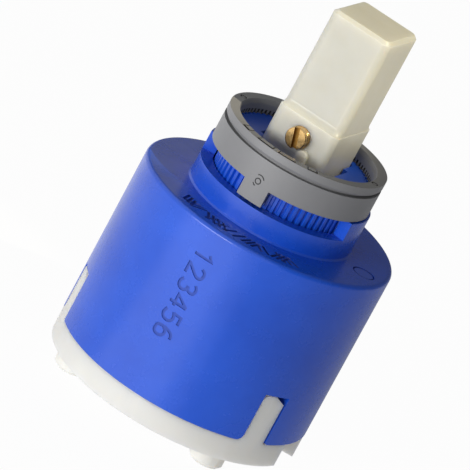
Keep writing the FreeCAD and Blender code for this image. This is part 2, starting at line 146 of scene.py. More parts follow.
# the sloping ledge between the lever's block and its stem; each level has its half width, front,
# back and rise
LEDGE_CORNER = 1.4
LEDGE_CORNER_STEPS = 8
LEDGE_LEVELS = (
    (5.98, -5.72, 9.32, -0.2), (5.98, -5.72, 9.32, 0.02), (5.97, -5.3, 9.1, 0.25),
    (5.96, -4.95, 8.9, 0.62), (5.95, -4.76, 8.8, 1.05), (5.9, -4.66, 8.7, 1.5),
)

# the limit screw: its thread, plain head and the rounding of its two ends
THREAD_PITCH = 0.7
THREAD_DEPTH = 0.3
THREAD_RUN_IN = 0.3
CREST_FLAT = 1.25
HEAD_LENGTH = 0.4
HEAD_ROUNDING = 0.15
TIP_TAPER = 0.4
SCREW_STEPS_ROUND = 64
SCREW_STEPS_ALONG = 200

# part of the noise's range over which shades and shine are spread
NOISE_SPAN = (0.3, 0.7)

# how the photograph was taken
VIEW_TURN = 16.5
VIEW_RISE = 19.8
VIEW_LEAN = 28.5
VIEW_FOCAL_PX = 7000.0
VIEW_PX_PER_MM = 5.82
VIEW_CENTRE = Vector((0.0, 0.0, 4.4))
VIEW_SIDE = -3.4
VIEW_UP = 24.1
PICTURE_PX = 470.0
SENSOR_W = 36.0

# where the lamps point, in metres
LIGHT_AIM = Vector((0.0, 0.0, 0.035))
STEM_AIM = Vector((0.0, 0.002, 0.073))

# the side of the floor and of the room that is white in reflections, how white the other side is,
# how softly the two meet, and the still brighter sheet in front
BRIGHT_FLOOR_SIDE = -64.0
BRIGHT_ROOM_SIDE = -45.0
DIM_FLOOR = 0.2
DIM_ROOM = 0.02
SIDE_BLEND = (-0.1, 0.1)
SHEET_SIDE = -14.0
SHEET_GAIN = 0.8
SHEET_BLEND = (0.86, 0.93)

# how white the floor is to the camera and to matt surfaces, and how bright the lit room is
FLOOR_TO_CAMERA = 0.97
FLOOR_TO_SURFACES = 0.42
ROOM_LEVEL = 0.22
ROOM_DIMMED_IN_SHINE = 0.09

# the floor lies this far below the lowest point of the base, and reaches this far, both in metres
FLOOR_DROP = 0.00002
FLOOR_REACH = 3.0


def towards(turn, rise):
    # direction at an angle round the axis and an angle above the level
    a, e = math.radians(turn), math.radians(rise)
    return Vector((math.sin(a) * math.cos(e), -math.cos(a) * math.cos(e), math.sin(e)))


# nodes

def new_node(tree, kind, inputs):
    # adds a node; each named or numbered input gets a value, or the socket that feeds it
    node = tree.nodes.new(kind)
    for name, value in inputs.items():
        if isinstance(value, bpy.types.NodeSocket):
            tree.links.new(value, node.inputs[name])
        else:
            node.inputs[name].default_value = value
    return node


def reckoned(tree, operation, *values):
    # result of one step of arithmetic on values or sockets
    step = new_node(tree, "ShaderNodeMath", dict(enumerate(values)))
    step.operation = operation
    return step.outputs[0]


# materials

def new_material(name):
    material = bpy.data.materials.new(name)
    material.use_nodes = True
    tree = material.node_tree
    tree.nodes.clear()
    shader = tree.nodes.new("ShaderNodeBsdfPrincipled")
    new_node(tree, "ShaderNodeOutputMaterial", {"Surface": shader.outputs["BSDF"]})
    return material, shader


def noise(tree, scale, detail=3.0, roughness=0.5, stretch=(1.0, 1.0, 1.0)):
    # noise on the piece's own coordinates; scale counts cells per metre
    place = tree.nodes.new("ShaderNodeTexCoord").outputs["Object"]
    stretched = new_node(tree, "ShaderNodeMapping", {"Vector": place, "Scale": stretch})
    cloud = new_node(tree, "ShaderNodeTexNoise", {
        "Vector": stretched.outputs["Vector"], "Scale": scale, "Detail": detail, "Roughness": roughness})
    return cloud.outputs["Fac"]


def drifting(tree, value, dark, light):
    # noise made a colour that drifts between two shades
    band = new_node(tree, "ShaderNodeValToRGB", {"Fac": value})
    for element, position, shade in zip(band.color_ramp.elements, NOISE_SPAN, (dark, light)):
        element.position = position
        element.color = (*shade, 1.0)
    return band.outputs["Color"]


def spread(tree, value, low, high):
    # noise spread between two values
    span = new_node(tree, "ShaderNodeMapRange", {
        "Value": value, "From Min": NOISE_SPAN[0], "From Max": NOISE_SPAN[1],
        "To Min": low, "To Max": high})
    return span.outputs["Result"]


def grain(tree, shader, parts):
    # stacks fine surface grain: (height source, depth in metres)
    below = None
    for height, depth in parts:
        bump = new_node(tree, "ShaderNodeBump", {"Height": height, "Strength": 1.0, "Distance": depth})
        if below is not None:
            tree.links.new(below, bump.inputs["Normal"])
        below = bump.outputs["Normal"]
    tree.links.new(below, shader.inputs["Normal"])


def moulded(name, shades, roughness, fine, wave, ior=1.5, scatter=None):
    # satin moulded plastic: slow colour drift, patches of shine, fine grain on soft waves, whose depths
    # are in metres; scatter is the tint and the depth of the light that a plastic lets through
    material, shader = new_material(name)
    tree = material.node_tree
    patches = noise(tree, 60.0, detail=4.0, roughness=0.6)
    tree.links.new(drifting(tree, patches, *shades), shader.inputs["Base Color"])
    shine = noise(tree, 260.0, detail=5.0, roughness=0.6)
    tree.links.new(spread(tree, shine, *roughness), shader.inputs["Roughness"])
    shader.inputs["IOR"].default_value = ior
    grain(tree, shader, ((noise(tree, 260.0), wave), (noise(tree, 4200.0, detail=2.0), fine)))
    if scatter:
        tint, depth = scatter
        shader.inputs["Subsurface Weight"].default_value = 1.0
        shader.inputs["Subsurface Radius"].default_value = tint
        shader.inputs["Subsurface Scale"].default_value = depth
    return material


def blue_plastic():
    shades = ((0.004, 0.073, 0.575), (0.01, 0.1, 0.7))
    return moulded("blue_plastic", shades, (0.22, 0.3), fine=0.000003, wave=0.00003, ior=1.55)


def neck_plastic():
    shades = ((0.005, 0.08, 0.6), (0.009, 0.1, 0.68))
    return moulded("neck_plastic", shades, (0.28, 0.38), fine=0.000002, wave=0.00002, ior=1.57)


def recess_shade_blue():
    # floor and walls of an engraved mark: darker and rougher than the skin around it; the darker colour is
    # painted shade of the recess
    shades = ((0.002, 0.028, 0.27), (0.004, 0.04, 0.36))
    return moulded("recess_shade_blue", shades, (0.5, 0.65), fine=0.000006, wave=0.00002)


def digit_shade_blue():
    # floor of the stamped digits, only a little darker than the skin; the darker colour is painted shade of
    # the recess
    shades = ((0.003, 0.045, 0.37), (0.005, 0.058, 0.43))
    return moulded("digit_shade_blue", shades, (0.4, 0.5), fine=0.000004, wave=0.00002)


def pale_plastic():
    shades = ((0.775, 0.765, 0.725), (0.82, 0.812, 0.775))
    scatter = ((1.0, 0.92, 0.82), 0.003)
    return moulded("pale_plastic", shades, (0.32, 0.42), fine=0.000002, wave=0.00002, scatter=scatter)


def ivory_plastic():
    shades = ((0.585, 0.57, 0.485), (0.65, 0.642, 0.58))
    scatter = ((1.0, 0.9, 0.7), 0.004)
    return moulded("ivory_plastic", shades, (0.28, 0.4), fine=0.000002, wave=0.00002, scatter=scatter)


def grey_plastic():
    shades = ((0.225, 0.225, 0.23), (0.26, 0.26, 0.267))
    return moulded("grey_plastic", shades, (0.38, 0.5), fine=0.000003, wave=0.00002)


def recess_shade_grey():
    # floor and walls of the ring's engraved marks, slits, gaps and notches: the dark grey is painted shade
    # of the recesses
    shades = ((0.06, 0.06, 0.062), (0.09, 0.09, 0.093))
    return moulded("recess_shade_grey", shades, (0.6, 0.75), fine=0.000004, wave=0.00001, ior=1.3)


def carrier_plastic():
    shades = ((0.78, 0.78, 0.76), (0.84, 0.84, 0.82))
    return moulded("carrier_plastic", shades, (0.3, 0.4), fine=0.000001, wave=0.00001)


def lapped_ceramic():
    material, shader = new_material("disc_ceramic")
    tree = material.node_tree
    tint = drifting(tree, noise(tree, 90.0, detail=2.0), (0.84, 0.82, 0.76), (0.88, 0.865, 0.81))
    tree.links.new(tint, shader.inputs["Base Color"])
    tree.links.new(spread(tree, noise(tree, 900.0), 0.12, 0.2), shader.inputs["Roughness"])
    shader.inputs["IOR"].default_value = 1.7
    return material


def seal_rubber():
    material, shader = new_material("seal_rubber")
    tree = material.node_tree
    tint = drifting(tree, noise(tree, 300.0), (0.012, 0.012, 0.013), (0.022, 0.022, 0.024))
    tree.links.new(tint, shader.inputs["Base Color"])
    tree.links.new(spread(tree, noise(tree, 600.0, detail=2.0), 0.45, 0.6), shader.inputs["Roughness"])
    grain(tree, shader, ((noise(tree, 3000.0, detail=2.0), 0.000003),))
    return material


def turned_metal(name, dark, light, roughness):
    # lathe-turned metal with fine rings and a little tarnish
    material, shader = new_material(name)
    tree = material.node_tree
    tint = drifting(tree, noise(tree, 700.0, detail=4.0, roughness=0.6), dark, light)
    tree.links.new(tint, shader.inputs["Base Color"])
    tree.links.new(spread(tree, noise(tree, 1500.0), *roughness), shader.inputs["Roughness"])
    shader.inputs["Metallic"].default_value = 1.0
    scratches = noise(tree, 2500.0, detail=2.0, stretch=(1.0, 6.0, 1.0))
    grain(tree, shader, ((scratches, 0.000003),))
    return material


def facing(tree, coordinate, side, blend, dim, full):
    # steps from dim to full where a direction or place turns towards a side of the room
    place = tree.nodes.new("ShaderNodeTexCoord").outputs[coordinate]
    level = new_node(tree, "ShaderNodeVectorMath", {0: place, 1: (1.0, 1.0, 0.0)})
    level.operation = "MULTIPLY"
    outwards = new_node(tree, "ShaderNodeVectorMath", {0: level.outputs[0]})
    outwards.operation = "NORMALIZE"
    along = new_node(tree, "ShaderNodeVectorMath", {0: outwards.outputs[0], 1: towards(side, 0.0)})
    along.operation = "DOT_PRODUCT"
    edge = new_node(tree, "ShaderNodeMapRange", {
        "Value": along.outputs["Value"], "From Min": blend[0], "From Max": blend[1],
        "To Min": dim, "To Max": full})
    edge.interpolation_type = "SMOOTHSTEP"
    return edge.outputs["Result"]


def white_share(tree, to_camera, to_surfaces, lit_side):
    # how far the camera, reflections, glass and matt surfaces see plain white instead of the lit room
    ray = tree.nodes.new("ShaderNodeLightPath").outputs
    shine = reckoned(tree, "MAXIMUM", ray["Is Glossy Ray"], ray["Is Transmission Ray"])
    seen = reckoned(tree, "MULTIPLY", ray["Is Camera Ray"], to_camera)
    mirrored = reckoned(tree, "MULTIPLY", shine, lit_side)
    bounced = reckoned(tree, "MULTIPLY", ray["Is Diffuse Ray"], to_surfaces)
    return reckoned(tree, "MAXIMUM", reckoned(tree, "MAXIMUM", seen, mirrored), bounced)


def pale_floor():
    # pale floor that the camera sees as nearly white, with the object's soft shadow
    material, shader = new_material("pale_floor")
    material.cycles.emission_sampling = "NONE"
    tree = material.node_tree
    tint = drifting(tree, noise(tree, 12.0, detail=2.0), (0.9, 0.9, 0.9), (0.92, 0.92, 0.92))
    tree.links.new(tint, shader.inputs["Base Color"])
    shader.inputs["Roughness"].default_value = 0.9
    sheet = facing(tree, "Object", SHEET_SIDE, SHEET_BLEND, 0.0, SHEET_GAIN)
    shine = tree.nodes.new("ShaderNodeLightPath").outputs["Is Glossy Ray"]
    strength = reckoned(tree, "ADD", reckoned(tree, "MULTIPLY", sheet, shine), 1.0)
    glow = new_node(tree, "ShaderNodeEmission", {"Strength": strength})
    lit_side = facing(tree, "Object", BRIGHT_FLOOR_SIDE, SIDE_BLEND, DIM_FLOOR, 1.0)
    share = white_share(tree, FLOOR_TO_CAMERA, FLOOR_TO_SURFACES, lit_side)
    mix = new_node(tree, "ShaderNodeMixShader", {
        "Fac": share, 1: shader.outputs["BSDF"], 2: glow.outputs["Emission"]})
    out = tree.nodes["Material Output"]
    tree.links.new(mix.outputs["Shader"], out.inputs["Surface"])
    return material


# meshes

def link(piece):
    scene.collection.objects.link(piece)
    return piece


def from_bmesh(name, bm, material):
    mesh = bpy.data.meshes.new(name)
    bm.to_mesh(mesh)
    bm.free()
    mesh.materials.append(material)
    return link(bpy.data.objects.new(name, mesh))


def closed_piece(name, bm, material):
    # turns every face outwards before the mesh is made
    bmesh.ops.recalc_face_normals(bm, faces=bm.faces)
    return from_bmesh(name, bm, material)


def skinned(bm, rows, comes_round=False):
    # skin over rows of corners, closed by a cap at each end unless the rows come round to the first
    following = rows[1:] + rows[:1] if comes_round else rows[1:]
    for row, after in zip(rows, following):
        for k in range(len(row)):
            beside = (k + 1) % len(row)
            bm.faces.new((row[k], row[beside], after[beside], after[k]))
    if not comes_round:
        bm.faces.new(rows[0])
        bm.faces.new(rows[-1])


def moulding(node, name, material):
    # joined copy of a CAD node, in millimetres, for work on its edges and faces
    bm = bmesh.new()
    bm.from_mesh(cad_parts[node].data)
    bmesh.ops.transform(bm, matrix=Matrix.Scale(1.0 / MM, 4), verts=bm.verts)
    bmesh.ops.remove_doubles(bm, verts=bm.verts, dist=POINT_GAP)
    bmesh.ops.dissolve_limit(bm, angle_limit=math.radians(FLAT_ANGLE), verts=bm.verts, edges=bm.edges)
    return from_bmesh(name, bm, material)


def evaluated(piece):
    # the piece's mesh with its modifiers made real
    graph = bpy.context.evaluated_depsgraph_get()
    mesh = bpy.data.meshes.new_from_object(piece.evaluated_get(graph), depsgraph=graph)
    old = piece.data
    piece.modifiers.clear()
    piece.data = mesh
    mesh.name = piece.name
    if old.users == 0:
        bpy.data.meshes.remove(old)
    return piece


def combined(piece, operation, others):
    # cuts other closed shapes out of a piece or joins them to it; their faces keep their own finish
    for other in others:
        step = piece.modifiers.new("combine", "BOOLEAN")
        step.operation = operation
        step.solver = "EXACT"
        step.material_mode = "TRANSFER"
        step.object = other
    evaluated(piece)
    for other in others:
        bpy.data.objects.remove(other)


def eased(piece, width, from_angle=32.0, segments=2):
    # rounds the sharp edges as moulding does
    soften = piece.modifiers.new("ease", "BEVEL")
    soften.width = width
    soften.segments = segments
    soften.limit_method = "ANGLE"
    soften.angle_limit = math.radians(from_angle)
    soften.miter_outer = "MITER_ARC"
    return evaluated(piece)


def shaded(piece, sharp=38.0):
    # smooth shading with flat faces kept flat
    mesh = piece.data
    mesh.shade_smooth()
    mesh.set_sharp_from_angle(angle=math.radians(sharp))
    weigh = piece.modifiers.new("weigh", "WEIGHTED_NORMAL")
    weigh.mode = "FACE_AREA"
    weigh.keep_sharp = True
    return evaluated(piece)


def trued(piece):
    # faces on a round wall about the axis get the wall's own normals, level ones stay plain
    mesh = piece.data
    normals = [Vector(n.vector) for n in mesh.corner_normals]
    for face in mesh.polygons:
        if abs(face.normal.z) > LEVEL_SHARE:
            for loop in face.loop_indices:
                normals[loop] = Vector(face.normal)
        reaches = [mesh.vertices[i].co.xy.length for i in face.vertices]
        if max(reaches) - min(reaches) > WALL_SPREAD:
            continue
        for loop in face.loop_indices:
            corner = mesh.vertices[mesh.loops[loop].vertex_index].co
            out = Vector((corner.x, corner.y, 0.0)).normalized()
            if abs(out.dot(face.normal)) > WALL_SHARE:
                normals[loop] = out if out.dot(face.normal) > 0 else -out
    mesh.normals_split_custom_set(normals)


def stands_for(piece, body, slot, *nodes):
    # brings a finished piece to metres and puts it in the place of its CAD nodes
    piece.data.transform(Matrix.Scale(MM, 4))
    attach(piece, body)
    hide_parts(*nodes)


def round_place(beta, radius, z):
    # point at an angle round the axis
    b = math.radians(beta)
    return Vector((radius * math.sin(b), -radius * math.cos(b), z))


# engraved marks

# strokes of each figure in a box one high, with round or straight corners; the second stroke crosses
# the first
FIGURES = {
    "1": (("straight", (0.1, 0.8), (0.36, 1.0), (0.36, 0.0)),),
    "2": (("round", (0.03, 0.78), (0.1, 0.95), (0.3, 1.02), (0.53, 0.95), (0.58, 0.74), (0.48, 0.54),
           (0.03, 0.02)),
          ("straight", (-0.04, 0.0), (0.62, 0.0))),
    "3": (("round", (0.04, 0.88), (0.2, 1.02), (0.5, 0.98), (0.56, 0.76), (0.47, 0.57), (0.26, 0.55)),
          ("round", (0.26, 0.53), (0.5, 0.51), (0.6, 0.3), (0.52, 0.03), (0.22, -0.03), (0.02, 0.12))),
    "4": (("straight", (0.47, 1.0), (0.0, 0.3), (0.66, 0.3)),
          ("straight", (0.47, 0.0), (0.47, 1.0))),
    "5": (("straight", (0.56, 1.0), (0.12, 1.0), (0.07, 0.55)),
          ("round", (0.04, 0.52), (0.36, 0.66), (0.6, 0.5), (0.58, 0.1), (0.3, -0.03), (0.02, 0.1))),
    "6": (("round", (0.5, 0.98), (0.26, 0.98), (0.07, 0.66), (0.03, 0.3), (0.1, 0.02), (0.32, -0.02)),
          ("round", (0.3, -0.02), (0.54, 0.0), (0.62, 0.3), (0.5, 0.56), (0.2, 0.58), (0.07, 0.36))),
}


def softened(points, rounds=2):
    # rounds a line of points off by cutting its corners
    for _ in range(rounds):
        cut = [points[0]]
        for a, b in zip(points, points[1:]):
            cut.append(tuple(0.75 * u + 0.25 * v for u, v in zip(a, b)))
            cut.append(tuple(0.25 * u + 0.75 * v for u, v in zip(a, b)))
        points = cut + [points[-1]]
    return points


def digit_stroke(bm, points):
    # swept stroke through (way round, up) points on the housing's wall, mitred at its corners
    rows = []
    for i, (x, z) in enumerate(points):
        before = points[max(i - 1, 0)]
        after = points[min(i + 1, len(points) - 1)]
        into = Vector((x - before[0], z - before[1])).normalized()
        away = Vector((after[0] - x, after[1] - z)).normalized()
        along = (into + away).normalized()
        across = Vector((-along.y, along.x))
        ahead = away if away.length else into
        lean = across.dot(Vector((-ahead.y, ahead.x)))
        reach = across * DIGIT_HALF_W / max(lean, SHARPEST_MITRE)
        row = []
        for side, r in ((-1, BODY_R - DIGIT_DEPTH), (1, BODY_R - DIGIT_DEPTH),
                        (1, BODY_R + DIGIT_PAST), (-1, BODY_R + DIGIT_PAST)):
            corner = Vector((x, z)) + side * reach
            row.append(bm.verts.new(round_place(math.degrees(corner.x / BODY_R), r, corner.y)))
        rows.append(row)
    skinned(bm, rows)


def digit_cutters(material):
    # plain figures that read down the front of the housing, their tops to the right
    layers = (bmesh.new(), bmesh.new())
    for index, figure in enumerate(DIGITS):
        for layer, (corners, *points) in zip(layers, FIGURES[figure]):
            line = softened(points) if corners == "round" else points
            placed = []
            for along, up in line:
                across = (up - 0.5) * DIGIT_HEIGHT + math.radians(DIGIT_SIDE) * BODY_R
                top = DIGIT_TOP - index * DIGIT_PITCH
                placed.append((across, top - (along - FIGURE_MIDDLE) * DIGIT_HEIGHT))
            digit_stroke(layer, placed)
    return [closed_piece("digit_cutter", layer, material) for layer in layers]


BAR_INPUTS = (
    ("Count", "NodeSocketInt", 3), ("Radius", "NodeSocketFloat", 20.0),
    ("First", "NodeSocketFloat", 0.0), ("Last", "NodeSocketFloat", 10.0),
    ("Height", "NodeSocketFloat", 0.0), ("Slant", "NodeSocketFloat", 0.0),
    ("Size", "NodeSocketVector", (0.3, 1.5, 0.5)), ("Finish", "NodeSocketMaterial", None),
)


def bar_tree():
    # bars set out along an arc about the axis, each turned with its place and slanted
    tree = bpy.data.node_groups.new("bars_on_arc", "GeometryNodeTree")
    tree.interface.new_socket("Geometry", in_out="OUTPUT", socket_type="NodeSocketGeometry")
    for name, kind, value in BAR_INPUTS:
        socket = tree.interface.new_socket(name, in_out="INPUT", socket_type=kind)
        if value is not None:
            socket.default_value = value
    given = tree.nodes.new("NodeGroupInput").outputs
    first = new_node(tree, "ShaderNodeCombineXYZ", {"X": given["First"]})
    last = new_node(tree, "ShaderNodeCombineXYZ", {"X": given["Last"]})
    line = new_node(tree, "GeometryNodeMeshLine", {
        "Count": given["Count"], "Start Location": first.outputs[0], "Offset": last.outputs[0]})
    line.mode = "END_POINTS"
    where = tree.nodes.new("GeometryNodeInputPosition")
    parts = new_node(tree, "ShaderNodeSeparateXYZ", {0: where.outputs[0]})
    angle = reckoned(tree, "RADIANS", parts.outputs["X"])
    side = reckoned(tree, "MULTIPLY", reckoned(tree, "SINE", angle), given["Radius"])
    depth = reckoned(tree, "MULTIPLY", reckoned(tree, "COSINE", angle), given["Radius"])
    front = reckoned(tree, "MULTIPLY", depth, -1.0)
    spot = new_node(tree, "ShaderNodeCombineXYZ", {"X": side, "Y": front, "Z": given["Height"]})
    keep = new_node(tree, "GeometryNodeStoreNamedAttribute", {
        "Geometry": line.outputs["Mesh"], "Name": "bar_angle", "Value": angle})
    move = new_node(tree, "GeometryNodeSetPosition", {
        "Geometry": keep.outputs["Geometry"], "Position": spot.outputs[0]})
    kept = new_node(tree, "GeometryNodeInputNamedAttribute", {"Name": "bar_angle"})
    lean = reckoned(tree, "ADD", kept.outputs["Attribute"], given["Slant"])
    turn = new_node(tree, "ShaderNodeCombineXYZ", {"Z": lean})
    bar = new_node(tree, "GeometryNodeMeshCube", {"Size": given["Size"]})
    place = new_node(tree, "GeometryNodeInstanceOnPoints", {
        "Points": move.outputs["Geometry"], "Instance": bar.outputs["Mesh"], "Rotation": turn.outputs[0]})
    real = new_node(tree, "GeometryNodeRealizeInstances", {"Geometry": place.outputs["Instances"]})
    finish = new_node(tree, "GeometryNodeSetMaterial", {
        "Geometry": real.outputs["Geometry"], "Material": given["Finish"]})
    new_node(tree, "NodeGroupOutput", {"Geometry": finish.outputs["Geometry"]})
    return tree


def bars(tree, name, **sizes):
    piece = link(bpy.data.objects.new(name, bpy.data.meshes.new(name)))
    maker = piece.modifiers.new("bars", "NODES")
    maker.node_group = tree
    for item in tree.interface.items_tree:
        if item.in_out == "INPUT" and item.name in sizes:
            maker[item.identifier] = sizes[item.name]
    return evaluated(piece)


# groups of plain slanted bars on the shoulder: count, first and last angle, slant, length
SHOULDER_BARS = (
    (3, -26.0, -20.5, 30.0, 3.3), (3, -21.5, -16.0, -32.0, 3.3),
    (4, -9.5, 0.5, 34.0, 3.5), (4, -6.5, 9.0, -30.0, 3.5),
    (3, 13.0, 18.0, -26.0, 3.2), (2, 20.0, 23.5, 24.0, 3.2),
    (3, 29.0, 34.5, -34.0, 3.5), (3, 31.5, 38.0, 30.0, 3.5),
)


def shoulder_cutters(tree, material):
    pieces = []
    for count, first, last, slant, length in SHOULDER_BARS:
        pieces.append(bars(
            tree, "shoulder_bars", Finish=material, Count=count, Radius=SHOULDER_BAR_R, First=first,
            Last=last, Height=SHOULDER_Z, Slant=math.radians(slant),
            Size=(SHOULDER_BAR_W, length, SHOULDER_BAR_H)))
    return pieces


def bore_notch_cutter(tree, material):
    # ends of the ring's inner teeth, all round its bore just above the neck; their dark faces are painted
    # shade between the teeth
    return bars(tree, "bore_notches", Finish=material, Count=NOTCHES, Radius=RING_BORE_R + NOTCH_IN,
                First=0.0, Last=NOTCH_LAST, Height=TURRET_TOP + NOTCH_RISE, Slant=0.0, Size=NOTCH_SIZE)


def rim_cutter(name, material, centres, rim, face_z, depth, steps):
    # rims of round marks in a level face, dark with painted shade of the groove
    bm = bmesh.new()
    low_r, high_r = rim
    low_z, high_z = face_z - depth, face_z + CUT_PAST
    for centre in centres:
        rows = []
        for i in range(steps):
            turn = 2 * math.pi * i / steps
            ray = Vector((math.cos(turn), math.sin(turn), 0.0))
            corners = ((low_r, low_z), (high_r, low_z), (high_r, high_z), (low_r, high_z))
            rows.append([bm.verts.new(centre + ray * r + Vector((0, 0, z))) for r, z in corners])
        skinned(bm, rows, comes_round=True)
    return closed_piece(name, bm, material)


def round_plug(material, centre, radius, face_z, sink, steps):
    # plug that fills a round recess nearly up to the level face around it
    low_z, high_z = face_z - PLUG_DEPTH, face_z - sink
    bm = bmesh.new()
    made = bmesh.ops.create_cone(bm, cap_ends=True, segments=steps, radius1=radius, radius2=radius,
                                 depth=high_z - low_z)
    bmesh.ops.translate(bm, vec=centre + Vector((0, 0, (low_z + high_z) / 2)), verts=made["verts"])
    return from_bmesh("plug", bm, material)


def sector_box(bm, radii, low_z, high_z, first, last):
    # closed block between two radii, two heights and two angles
    low_r, high_r = radii
    steps = max(1, round(abs(last - first) / SECTOR_STEP))
    rows = []
    for i in range(steps + 1):
        beta = first + (last - first) * i / steps
        corners = ((low_r, low_z), (high_r, low_z), (high_r, high_z), (low_r, high_z))
        rows.append([bm.verts.new(round_place(beta, r, z)) for r, z in corners])
    skinned(bm, rows)


def spring_slit_cutter(material):
    # slits that part the spring tongues from the ring's front land
    bm = bmesh.new()
    for first, last in SLIT_SPANS:
        sector_box(bm, SLIT_RADII, RING_TOP - SLIT_DEPTH, RING_TOP + CUT_PAST,
                   first - SLIT_OVER, last + SLIT_OVER)
    return closed_piece("spring_slit_cutter", bm, material)


def tongue_gap_cutter(material):
    # gaps at both ends of each spring tongue
    bm = bmesh.new()
    for span in SLIT_SPANS:
        for beta in span:
            sector_box(bm, GAP_RADII, RING_TOP - GAP_DEPTH, RING_TOP + CUT_PAST,
                       beta - GAP_HALF_W, beta + GAP_HALF_W)
    return closed_piece("tongue_gap_cutter", bm, material)


def tab_stroke(bm, radius, start, stop, rise):
    # one stroke of the tab's mark, bent round an arc on the ring's wall
    closed = stop - start >= 360.0
    steps = CIRCLE_STEPS if closed else ARC_STEPS
    low_r, high_r = RING_R - TAB_MARK_DEPTH, RING_R + CUT_PAST
    half_w = TAB_MARK_HALF_W
    rows = []
    for i in range(steps if closed else steps + 1):
        turn = math.radians(start + (stop - start) * i / steps)
        row = []
        for reach, r in ((-half_w, low_r), (half_w, low_r), (half_w, high_r), (-half_w, high_r)):
            side = (radius + reach) * math.cos(turn)
            up = (radius + reach) * math.sin(turn) + rise
            row.append(bm.verts.new(round_place(math.degrees(side / RING_R), r, TAB_MARK_Z + up)))
        rows.append(row)
    skinned(bm, rows, comes_round=closed)


def tab_mark_cutter(material):
    # plain index mark on the ring's tab: a small circle between two short arcs
    bm = bmesh.new()
    for stroke in TAB_STROKES:
        tab_stroke(bm, *stroke)
    return closed_piece("tab_mark_cutter", bm, material)


# main pieces

def housing_piece(material, recess_shade_material, digit_shade_material, tree):
    piece = eased(moulding("housing", "housing_shell", material), HOUSING_EDGE)
    mark = round_place(EJECTOR_SIDE, EJECTOR_FROM_AXIS, 0.0)
    combined(piece, "UNION", [
        round_plug(material, mark, EJECTOR_PLUG_R, SHOULDER_Z, EJECTOR_SINK, EJECTOR_STEPS)])
    # the cut faces of the digits, bars and ejector rim take darker finishes, painted shade of the recesses
    combined(piece, "DIFFERENCE", [
        *digit_cutters(digit_shade_material),
        *shoulder_cutters(tree, recess_shade_material),
        rim_cutter("ejector_mark_cutter", recess_shade_material, [mark], EJECTOR_RIM, SHOULDER_Z,
                   EJECTOR_RIM_DEPTH, EJECTOR_STEPS),
    ])
    trued(shaded(piece))
    stands_for(piece, "body", "blue_plastic", "housing")


def ring_piece(material, recess_shade_material, tree):
    piece = eased(moulding("temperature_ring", "temperature_ring_body", material), RING_EDGE)
    dots = [round_place(beta, RING_LAND_R, 0.0) for beta in DOT_SIDES]
    combined(piece, "UNION", [
        round_plug(material, dot, DOT_PLUG_R, RING_TOP, DOT_SINK, DOT_STEPS) for dot in dots])
    # the cut faces of the mark, gaps, slits, dot rims and notches take the dark grey, painted shade of the
    # recesses
    combined(piece, "DIFFERENCE", [
        tab_mark_cutter(recess_shade_material),
        tongue_gap_cutter(recess_shade_material),
        spring_slit_cutter(recess_shade_material),
        rim_cutter("ring_dot_cutter", recess_shade_material, dots, DOT_RIM, RING_TOP, DOT_RIM_DEPTH, DOT_STEPS),
        bore_notch_cutter(tree, recess_shade_material),
    ])
    trued(shaded(piece))
    stands_for(piece, "ring", "grey_plastic", "temperature_ring")


def turret_piece(material):
    piece = eased(moulding("turret", "turret_neck", material), NECK_EDGE)
    trued(shaded(piece))
    stands_for(piece, "neck", "blue_plastic", "turret")


def base_piece(material):
    piece = eased(moulding("base", "base_floor", material), BASE_EDGE)
    trued(shaded(piece))
    stands_for(piece, "body", "pale_plastic", "base")


def rounded_outline(half_w, front, back, z):
    # plan of the ledge at one level, with round corners
    inset = half_w - LEDGE_CORNER
    points = []
    for x, y, first in ((inset, back - LEDGE_CORNER, 0.0), (-inset, back - LEDGE_CORNER, 90.0),
                        (-inset, front + LEDGE_CORNER, 180.0), (inset, front + LEDGE_CORNER, 270.0)):
        for i in range(LEDGE_CORNER_STEPS + 1):
            turn = math.radians(first + 90.0 * i / LEDGE_CORNER_STEPS)
            points.append(Vector((x + LEDGE_CORNER * math.cos(turn), y + LEDGE_CORNER * math.sin(turn), z)))
    return points


def ledge_fill(material):
    # sloping band that leads from the block's top edge up to the stem
    bm = bmesh.new()
    rows = []
    for half_w, front, back, rise in LEDGE_LEVELS:
        rows.append([bm.verts.new(p) for p in rounded_outline(half_w, front, back, LEDGE_Z + rise)])
    skinned(bm, rows)
    return closed_piece("ledge_fill", bm, material)


def lever_piece(material):
    piece = moulding("lever", "lever_stem", material)
    combined(piece, "UNION", [ledge_fill(material)])
    shaded(eased(piece, LEVER_EDGE, from_angle=28.0, segments=3))
    stands_for(piece, "stem", "ivory_plastic", "lever")


